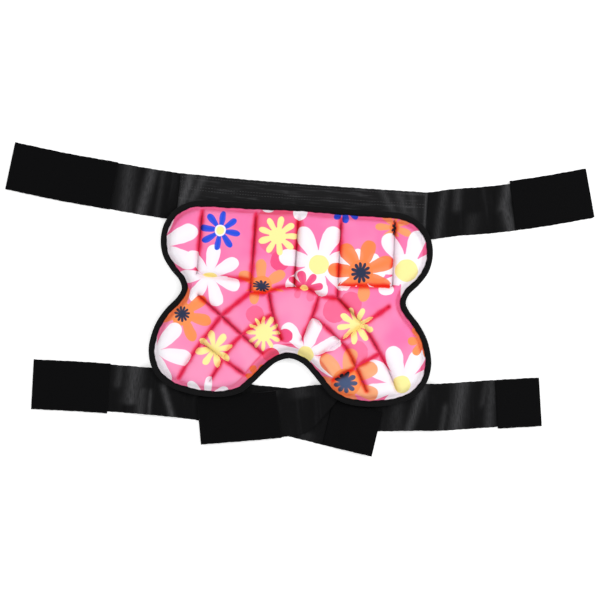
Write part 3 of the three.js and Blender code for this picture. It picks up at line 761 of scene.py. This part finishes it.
def stitches(name, places, slot, length, radius, material=THREAD):
    """Thread: one short plump stitch at each (point, direction), half sunk in the cloth."""
    points, faces = [], []
    for (x, y, z), (dx, dy) in places:
        base = len(points)
        for share, fat in STITCH_SHAPE:
            cx, cy = x + dx * share * length, y + dy * share * length
            if fat == 0:
                points.append((cx, cy, z - STITCH_SINK))
                continue
            for k in range(STITCH_SIDES):
                a = k * 2 * math.pi / STITCH_SIDES
                side, up = math.cos(a) * radius * fat, math.sin(a) * radius * fat
                points.append((cx - dy * side, cy + dx * side, z + up))
        rings = [base + 1 + STITCH_SIDES * ring for ring in range(3)]
        for k in range(STITCH_SIDES):
            j = (k + 1) % STITCH_SIDES
            faces.append((base, rings[0] + k, rings[0] + j))
            faces.append((rings[2] + STITCH_SIDES, rings[2] + j, rings[2] + k))
            for here, there in zip(rings, rings[1:]):
                faces.append((here + k, there + k, there + j, here + j))
    co = np.array(points)
    return settle(mesh_piece(name, co, faces, {"strip": co}, material), slot)


# The binding's section: insets from the cut edge
TAPE_INNER = 4.7
TAPE_MIDDLE = 2.2
TAPE_STITCH_INSET = 3.3
TAPE_STITCH_PITCH = 3.1


def tape_section():
    """The folded tape's outline as rows (inset, height, 1 where the tape's free edge sways or else 0)."""
    middle, half = (PAD_BOTTOM + TAPE_TOP) / 2, (TAPE_TOP - PAD_BOTTOM) / 2
    section = [
        (TAPE_INNER, PAD_BOTTOM + 0.35, 1), (TAPE_INNER - 0.5, PAD_BOTTOM, 1), (TAPE_MIDDLE, PAD_BOTTOM, 0),
    ]
    for k in range(11):
        a = -math.pi / 2 + math.pi * k / 10
        out = abs(math.cos(a)) ** 0.75
        up = math.copysign(abs(math.sin(a)) ** 0.8, math.sin(a))
        section.append((0.6 - 2.1 * out, middle + half * up, 0))
    section += [
        (1.7, TAPE_TOP + 0.15, 0), (3.2, TAPE_TOP - 0.1, 0), (TAPE_INNER - 0.6, TAPE_TOP + 0.05, 1),
        (TAPE_INNER, TAPE_TOP - 0.4, 1),
    ]
    low, high = RIM_BOTTOM - SEAM_GAP, RIM_TOP + SEAM_GAP
    section += [(TAPE_INNER, high, 1), (TAPE_MIDDLE, high, 0), (-SEAM_GAP, high, 0)]
    section += [(-SEAM_GAP, low, 0), (TAPE_MIDDLE, low, 0), (TAPE_INNER, low, 1)]
    return section


def edge_binding():
    """One ribbed tape folded round the rim, with a row of stitches near its inner edge."""
    stations = len(EDGE) - 1
    s = np.arange(stations) * EDGE_LENGTH / stations
    sway = 0.22 * np.sin(s * 2 * math.pi * round(EDGE_LENGTH / 23) / EDGE_LENGTH)
    sway += 0.15 * np.sin(s * 2 * math.pi * round(EDGE_LENGTH / 9) / EDGE_LENGTH + 1)
    section = tape_section()
    columns, strips = [], []
    across = 0
    last = section[0]
    for inset, z, free in section:
        across += math.hypot(inset - last[0], z - last[1])
        last = (inset, z)
        columns.append(np.column_stack([edge_ring(inset + free * sway), np.full(stations, z)]))
        strips.append(np.column_stack([s, np.full(stations, across), np.zeros(stations)]))
    rings = np.stack(columns, axis=1)
    strip = np.stack(strips, axis=1).reshape(-1, 3)
    settle(swept("binding", rings, {"strip": strip}, BINDING), "binding_tape", "edge_binding")

    row = edge_ring(TAPE_STITCH_INSET)
    line = spaced(np.vstack([row, row[:1]]), TAPE_STITCH_PITCH)
    turn = unit(np.diff(line, axis=0))
    places = [((*q, TAPE_TOP - 0.05), tuple(d)) for q, d in zip((line[:-1] + line[1:]) / 2, turn)]
    stitches("binding_stitches", places, "binding_tape", 2.5, 0.22)


# Straps
CLOTH_ACROSS = 31  # points across a strap
ALL_ACROSS = (-40, 40)  # sides of a fold or painted highlight that crosses the strap
SOFT_EDGE = 0.42  # share by which the cloth is thinner at its edges
STITCH_INSET = 2.2  # from a patch's or the band's edge to its stitches
PATCH_THREAD = (2.3, 0.2)  # length and radius of a stitch


def raised(x, side, rows, soft):
    """The height of each fold, or the strength of each painted highlight, at points of a strap."""
    for x0, slant, wide, tall, *sides in rows:
        low, top = sides or ALL_ACROSS
        ridge = tall * bell(x - x0 - slant * side, 0, wide)
        yield ridge * smoothstep(side, low - soft, low) * (1 - smoothstep(side, top, top + soft))


class Strap:
    """A flat strap along a plan curve that runs towards +X, lying in layers, with folds raised across it."""

    def __init__(self, points, layers, folds, seed):
        self.curve = spaced(spline(points), 1)
        self.layers, self.folds, self.seed = layers, folds, seed
        self.length = lengths(self.curve)[-1]

    def centre(self, s):
        """The middle of the strap and its direction at each length, running on straight past its ends."""
        at = lengths(self.curve)
        q = np.column_stack([np.interp(s, at, self.curve[:, k]) for k in (0, 1)])
        turn = unit(np.gradient(self.curve, axis=0))
        d = unit(np.column_stack([np.interp(s, at, turn[:, k]) for k in (0, 1)]))
        over = np.where(s > self.length, s - self.length, np.minimum(s, 0))
        return q + d * over[:, None], d

    def layer(self, x):
        """How many layers of cloth lie under the strap."""
        height = np.full(np.shape(x), float(self.layers[0][1]))
        for (x0, a), (x1, b) in zip(self.layers, self.layers[1:]):
            height += smoothstep(x, x0, x1) * (b - a)
        return height

    def lifted(self, x, side):
        """How far the cloth stands off what it lies on."""
        height = 0.09 * (1 + np.clip(wobble(x, side, 16, self.seed), -1, 1))
        for fold in raised(x, side, self.folds, 8):
            height += fold
        return height

    def piece(
        self, name, material, start, end, width=STRAP, shift=0, lift=0, lower=None, step=1.6, highlights=()
    ):
        """The cloth between two lengths, as a closed thin solid with soft edges. shift is how far it lies to
        the strap's side, and lower gives the share of its lower half that is left at a place along X."""
        stations = np.linspace(start, end, max(2, int(round((end - start) / step)) + 1))
        stations = np.concatenate([[start], [start + 0.5], stations[1:-1], [end - 0.5], [end]])
        u = np.sin(np.linspace(-math.pi / 2, math.pi / 2, CLOTH_ACROSS))
        u = np.sign(u) * np.abs(u) ** 0.8
        nothing = np.zeros(CLOTH_ACROSS)
        points, strips, shine = [], [], []
        for s in stations:
            q, d = (found[0] for found in self.centre(np.array([s])))
            low = shift - width / 2 * (1 if lower is None else float(lower(q[0])))
            high = shift + width / 2
            fray = 0.12 * math.sin(s * 0.9 + self.seed) + 0.1 * math.sin(s * 0.31 + 2)
            side = low + (high - low) * (u + 1) / 2 + fray * u
            x, y = q[0] - d[1] * side, q[1] + d[0] * side
            base = (self.layer(q[0]) + lift) * PITCH + self.lifted(x, side)
            end_share = max(0, 1 - min(s - start, end - s) / 0.6)
            thin = np.maximum(SOFT_EDGE * np.abs(u) ** 12, SOFT_EDGE * end_share)
            points.append(np.column_stack([x, y, base + CLOTH * (1 - thin)]))
            points.append(np.column_stack([x, y, base + CLOTH * thin * 0.6])[::-1])
            strips.append(np.column_stack([np.full(CLOTH_ACROSS, s), side, nothing]))
            strips.append(strips[-1][::-1] + (0, 0, 3))
            # Painted highlight: its strength at each point of the upper face
            light = nothing
            for highlight in raised(x, side, highlights, 6):
                light = np.maximum(light, highlight)
            shine += [light, nothing]
        attributes = {"strip": np.vstack(strips), "highlight": np.concatenate(shine)}
        self.flat = (width * MM, (end - start) * MM)
        return mesh_piece(name, np.vstack(points), ribbon_faces(len(stations)), attributes, material)

    def row(self, a, b, lift=0, pitch=3):
        """Stitch places along a straight run between two (length, side) places."""
        a, b = np.array(a, float), np.array(b, float)
        count = max(1, int(np.hypot(*(b - a)) / pitch))
        t = (np.arange(count) + 0.5) / count
        s, side = a[0] + (b[0] - a[0]) * t, a[1] + (b[1] - a[1]) * t
        q, d = self.centre(s)
        x, y = q[:, 0] - d[:, 1] * side, q[:, 1] + d[:, 0] * side
        z = (self.layer(q[:, 0]) + lift) * PITCH + self.lifted(x, side) + CLOTH - 0.08
        run = (b - a) / np.hypot(*(b - a))
        dx, dy = d[:, 0] * run[0] - d[:, 1] * run[1], d[:, 1] * run[0] + d[:, 0] * run[1]
        return list(zip(zip(x, y, z), zip(dx, dy)))

    def box(self, start, end, low, high, lift):
        """Stitch places round a patch, with the rows a little inside its edges."""
        s0, s1 = start + STITCH_INSET, end - STITCH_INSET
        t0, t1 = low + STITCH_INSET, high - STITCH_INSET
        corners = [(s0, t0), (s1, t0), (s1, t1), (s0, t1), (s0, t0)]
        return [p for a, b in zip(corners, corners[1:]) for p in self.row(a, b, lift)]


def ribbon_faces(stations):
    """The faces of a closed ribbon. Each station has its upper points, then its lower ones back."""
    size = 2 * CLOTH_ACROSS
    faces = []
    for r in range(stations - 1):
        here, there = r * size, (r + 1) * size
        for i in range(size):
            j = (i + 1) % size
            faces.append((here + i, there + i, there + j, here + j))
    last = (stations - 1) * size
    for a in range(CLOTH_ACROSS - 1):
        b = a + 1
        faces.append((a, b, size - 1 - b, size - 1 - a))
        faces.append((last + b, last + a, last + size - 1 - a, last + size - 1 - b))
    return faces


def sheet(obj, slot, node_name):
    settle(obj, slot, node_name)


padded_panel()
edge_binding()

# Waist: the band behind the pad's top edge and a strap sewn under each of its ends
BAND_ROWS = [(-0.866, 0.4545), (-0.4, 0.4425), (0.01, 0.4375), (0.45, 0.435), (0.912, 0.434)]
BAND_STITCH_ROWS = (8.5, 11.5, 21.5)
BAND_STITCH_END = 22
LEFT_ROWS = [(1, 0.12), (0.69, 0.074), (0.455, 0.047), (0.22, 0.02), (0, 0)]
RIGHT_ROWS = [(0, 0), (0.18, 0.034), (0.33, 0.054), (0.48, 0.079), (0.72, 0.128), (1, 0.196)]


def reaching(x, y, rows, reach):
    """Points at shares of a strap's reach out from its seam and up. A reach to the left is below 0."""
    return [(x + out * reach, y + up * abs(reach)) for out, up in rows]


band_points = shares(BAND_ROWS)
left_x, left_y = band_points[0]
right_x, right_y = band_points[-1]
left_points = reaching(left_x, left_y, LEFT_ROWS, -LEFT_REACH) + [(left_x + SEWN, left_y - SEWN_DROP)]
right_points = [(right_x - SEWN, right_y)] + reaching(right_x, right_y, RIGHT_ROWS, RIGHT_REACH)

# Folds: pad x, slant, width, height and, unless it runs all across, the sides between which each stands
BAND_FOLDS = [
    (-96, 0.35, 6, 0.9, 4, 26), (-72, 0.5, 7, 0.7, 6, 26), (-30, 0.1, 9, 0.4, 6, 26),
    (96, 0.6, 6, 0.6, 2, 26), (112, -0.3, 5, 0.7, -4, 26),
]
WAIST_LEFT_FOLDS = [
    (-146, 0.06, 3.4, 1.3), (-156, -0.1, 4, 1), (-173, 0.05, 3.4, 1.1),
    (-182, -0.05, 3, 0.7), (-136, 0.12, 3.2, 0.7),
]
WAIST_RIGHT_FOLDS = [
    (152, 0.05, 3.2, 1), (170, -0.12, 3.6, 0.9), (186, 0.1, 4.4, 0.7),
    (203, -0.05, 3.2, 1), (211, 0.1, 3, 0.8),
]
LEG_LEFT_FOLDS = [
    (-163, 0.04, 3.2, 1.2), (-152, -0.1, 3.6, 1), (-174, 0.06, 3.4, 0.8), (24, 0.3, 7, 0.35, -40, 4),
]
LEG_RIGHT_FOLDS = [(204, 0.06, 3.4, 1), (193, -0.15, 4, 0.8), (168, 0.35, 5, 0.8)]
TAIL_FOLDS = [(-42, 1.25, 3.2, 0.8, -40, 30)]

# Painted highlights on the satin, in rows of the same kind with a strength in place of the height
BAND_HIGHLIGHTS = [
    (-119, 0.25, 4, 0.75), (-110, 0.45, 4, 0.45), (98, -0.6, 4, 0.4),
    (110, -0.4, 5, 0.4), (119, -0.2, 3, 0.3), (129.5, 0, 1.2, 0.6),
]
WAIST_LEFT_HIGHLIGHTS = [(-178, 0.05, 7, 0.35), (-158, 0.22, 5, 0.6), (-144, 0.1, 3, 0.2)]
WAIST_RIGHT_HIGHLIGHTS = [
    (146, 0.1, 4, 0.35), (162, 0, 4, 0.35, 4, 40), (210, 0.15, 5, 0.6, 0, 40),
    (212, -0.3, 5, 0.6, -40, 0), (180, 0.1, 6, 0.15, -40, -6),
]
LEG_LEFT_HIGHLIGHTS = [
    (-175, 0.05, 4, 0.3, 4, 40), (-159, 0.05, 8, 0.55, -12, 40), (-150, 0.05, 5, 0.4, -40, 0),
    (-141, 0, 1.6, 0.5, -40, -2), (-126, -0.37, 3, 0.65, -40, 5), (23, 0, 7, 0.15, -40, -18),
]
LEG_RIGHT_HIGHLIGHTS = [
    (133, 0.28, 4.5, 0.5), (112, 0, 8, 0.2), (177, 0.08, 7, 0.55),
    (163, 0.1, 3, 0.3, -40, 0), (209, 0, 5, 0.35), (201, 0.1, 3, 0.25, 0, 40),
]
TAIL_HIGHLIGHTS = [(20, -0.3, 10, 0.2, 16, 40), (-24, 0.2, 9, 0.3, 21, 40)]

band = Strap(band_points, [(0, 2)], BAND_FOLDS, 11)
left_layers = [(left_x - RISE - SEAM_GAP, 0), (left_x - SEAM_GAP, 1)]
waist_left = Strap(left_points, left_layers, WAIST_LEFT_FOLDS, 12)
right_layers = [(right_x + SEAM_GAP, 1), (right_x + RISE + SEAM_GAP, 0)]
waist_right = Strap(right_points, right_layers, WAIST_RIGHT_FOLDS, 13)

band_cloth = band.piece("waist_band_cloth", BAND, 0, band.length, highlights=BAND_HIGHLIGHTS)
places = []
for side in BAND_STITCH_ROWS:
    places += band.row((3, side), (band.length - 3, side), pitch=2.9)
for at in (STITCH_INSET, band.length - STITCH_INSET):
    places += band.row((at, -BAND_STITCH_END), (at, BAND_STITCH_END))
band_stitches = stitches("waist_band_stitches", places, "band_cloth", *PATCH_THREAD, BAND_THREAD)
sheet(band_cloth, "band_cloth", "waist_band")

Patch = namedtuple("Patch", "name node slot start end width shift")
TAPES = {"loop_tape": LOOP, "hook_tape": HOOK}


def strap_and_patches(strap, name, node_name, start, end, patches, highlights, lower=None):
    """The strap's cloth between two lengths, with the patches sewn on its ends."""
    cloth = strap.piece(name, ELASTIC, start, end, lower=lower, highlights=highlights)
    sheet(cloth, "elastic_webbing", node_name)
    for patch in patches:
        at = (patch.start, patch.end)
        tape = strap.piece(patch.name, TAPES[patch.slot], *at, patch.width, patch.shift, lift=1, step=2)
        border = strap.box(*at, patch.shift - patch.width / 2, patch.shift + patch.width / 2, 1)
        thread = stitches(patch.name + "_stitches", border, patch.slot, *PATCH_THREAD)
        sheet(tape, patch.slot, patch.node)


strap_and_patches(
    waist_left, "waist_webbing_left", "waist_strap_left", LIP, waist_left.length,
    [Patch("waist_loop", "waist_loop_patch", "loop_tape", 0, 109, 49.5, 0)],
    WAIST_LEFT_HIGHLIGHTS,
)
tip = waist_right.length
strap_and_patches(
    waist_right, "waist_webbing_right", "waist_strap_right", 0, tip - LIP,
    [Patch("waist_hook", "waist_hook_patch", "hook_tape", tip - 81, tip, 51, 1.7)],
    WAIST_RIGHT_HIGHLIGHTS,
)

# Legs: the left strap is one length, and the right one is in two, all sewn behind the lobes
HALF = PANEL_WIDTH / 2
LOBE_SEAM = 0.916 * HALF  # the middle of the hidden seam behind a lobe
SEAM_HALF = 0.13 * HALF
LEFT_HOOK = 52
RIGHT_LOOP = 82.5
CROSSING = [(-0.64, -0.57), (-0.263, -0.612), (-0.018, -0.62), (0.3, -0.659)]
LEFT_FREE = [(1, 0.021), (0.5, 0.025)]
RIGHT_HIDDEN = [(0.44, -0.582), (0.71, -0.567), (0.917, -0.555)]
RIGHT_FREE = [(0.2, 0.013), (0.58, 0.062), (1, 0.113)]
TAIL_ROWS = [(-0.055, -0.633), (0.11, -0.607), (0.48, -0.56)]


def lobe_layers(x):
    """The layers of a strap that lies on the floor and passes behind the pad at a lobe's seam."""
    low, high = x - SEAM_HALF, x + SEAM_HALF
    return [(low - RISE, 0), (low, 2), (high, 2), (high + RISE, 0)]


crossing = shares(CROSSING)
patch_x, patch_y = crossing[-1]
climb = patch_x + HOOK_CLIMB
turn = math.radians(HOOK_ANGLE)
hook_tip = (patch_x + LEFT_HOOK * math.cos(turn), patch_y + LEFT_HOOK * math.sin(turn))
left_free = reaching(-LOBE_SEAM, crossing[0][1], LEFT_FREE, -LEG_LEFT)
left_layers = lobe_layers(-LOBE_SEAM) + [(climb, 0), (climb + RISE, 1)]
leg_left = Strap(left_free + crossing + [hook_tip], left_layers, LEG_LEFT_FOLDS, 14)

outer = shares(RIGHT_HIDDEN)
outer[0] = (climb + OUTER_HIDDEN, outer[0][1])
outer += reaching(*outer[-1], RIGHT_FREE, LEG_RIGHT)
leg_right = Strap(outer, lobe_layers(LOBE_SEAM), LEG_RIGHT_FOLDS, 15)

tail_rows = shares(TAIL_ROWS)
(tail_x, tail_y), (slant_start, _), (slant_end, _) = tail_rows
turn = math.radians(TAIL_ANGLE)
tail_tip = (tail_x - RIGHT_LOOP * math.cos(turn), tail_y - RIGHT_LOOP * math.sin(turn))
tail_layers = [(slant_start + TAIL_CLIMB, 1), (slant_start + TAIL_CLIMB + RISE, 2)]
tail = Strap([tail_tip] + tail_rows, tail_layers, TAIL_FOLDS, 16)

tip = leg_left.length
strap_and_patches(
    leg_left, "leg_webbing_left", "leg_strap_left", LIP, tip - LIP,
    [
        Patch("leg_loop_left", "leg_loop_patch_left", "loop_tape", 0, 79, 51.4, -0.6),
        Patch("leg_hook_left", "leg_hook_patch_left", "hook_tape", tip - LEFT_HOOK, tip, 47.6, -0.5),
    ],
    LEG_LEFT_HIGHLIGHTS,
)
tip = leg_right.length
strap_and_patches(
    leg_right, "leg_webbing_right", "leg_strap_right_outer", 0, tip - LIP,
    [Patch("leg_hook_right", "leg_hook_patch_right", "hook_tape", tip - 45.5, tip, 50, -1)],
    LEG_RIGHT_HIGHLIGHTS,
)

BOW = 1.25  # the cut edge of the slanted end bulges a little
strap_and_patches(
    tail, "leg_webbing_tail", "leg_strap_right_tail", LIP, tail.length - LIP,
    [Patch("leg_loop_right", "leg_loop_patch_right", "loop_tape", 0, RIGHT_LOOP, 48.6, -0.4)],
    TAIL_HIGHLIGHTS,
    lower=lambda x: 1 - 2 * min(max((x - slant_start) / (slant_end - slant_start), 0), 1) ** BOW,
)

# Floor, light and camera, in metres
FLOOR_HALF = 4
FLOOR_DROP = 0.0005  # keeps the floor clear of the cloth on it
FLOOR_GLOW = 0.4
SKY = 0.68
LENS = 200
SENSOR = 36
VIEW_WIDTH = 0.618  # floor across the picture
VIEW_CENTRE = (0.00638, 0.00144)
VIEW_TURN = 3.57
WHITE_LIGHT = (1, 1, 1, 1)

floor_material, floor_tree, floor_surface = shader("floor", roughness=0.9, specular=0.1)
grain = noise(floor_tree, node(floor_tree, "TexCoord").outputs["Object"], 40)
paper = mix(floor_tree, grain, (0.92, 0.92, 0.92, 1), (0.95, 0.95, 0.95, 1))
feed(floor_tree, floor_surface, Base_Color=paper, Emission_Color=WHITE_LIGHT, Emission_Strength=FLOOR_GLOW)
floor_mesh = bpy.data.meshes.new("floor")
corners = [(x * FLOOR_HALF, y * FLOOR_HALF, -FLOOR_DROP) for x, y in ((-1, -1), (1, -1), (1, 1), (-1, 1))]
floor_mesh.from_pydata(corners, [], [(0, 1, 2, 3)])
floor_mesh.materials.append(floor_material)
floor = linked("floor", floor_mesh)

world = bpy.data.worlds.new("studio")
bpy.context.scene.world = world
world.use_nodes = True
feed(world.node_tree, world.node_tree.nodes["Background"], Color=WHITE_LIGHT, Strength=SKY)


def lamp(name, place, size, power):
    """A round lamp that is aimed at the middle of the floor."""
    light = bpy.data.lights.new(name, "AREA")
    light.shape = "DISK"
    light.size = size
    light.energy = power
    obj = linked(name, light)
    obj.location = place
    aim = -obj.location.normalized()
    obj.rotation_euler = aim.to_track_quat("-Z", "Y").to_euler()


lamp("key", (1.1, 0.5, 1.3), size=0.6, power=9)
lamp("side", (-1, 0.5, 1.4), size=0.6, power=4.5)
lamp("front", (0.1, -1.3, 1.6), size=1, power=4)

camera_data = bpy.data.cameras.new("camera")
camera_data.lens = LENS
camera_data.sensor_width = SENSOR
camera_data.clip_end = 20
camera = linked("camera", camera_data)
camera.location = (*VIEW_CENTRE, VIEW_WIDTH * LENS / SENSOR)
camera.rotation_euler = (0, 0, math.radians(VIEW_TURN))
bpy.context.scene.camera = camera
bpy.context.scene.view_settings.view_transform = "Standard"
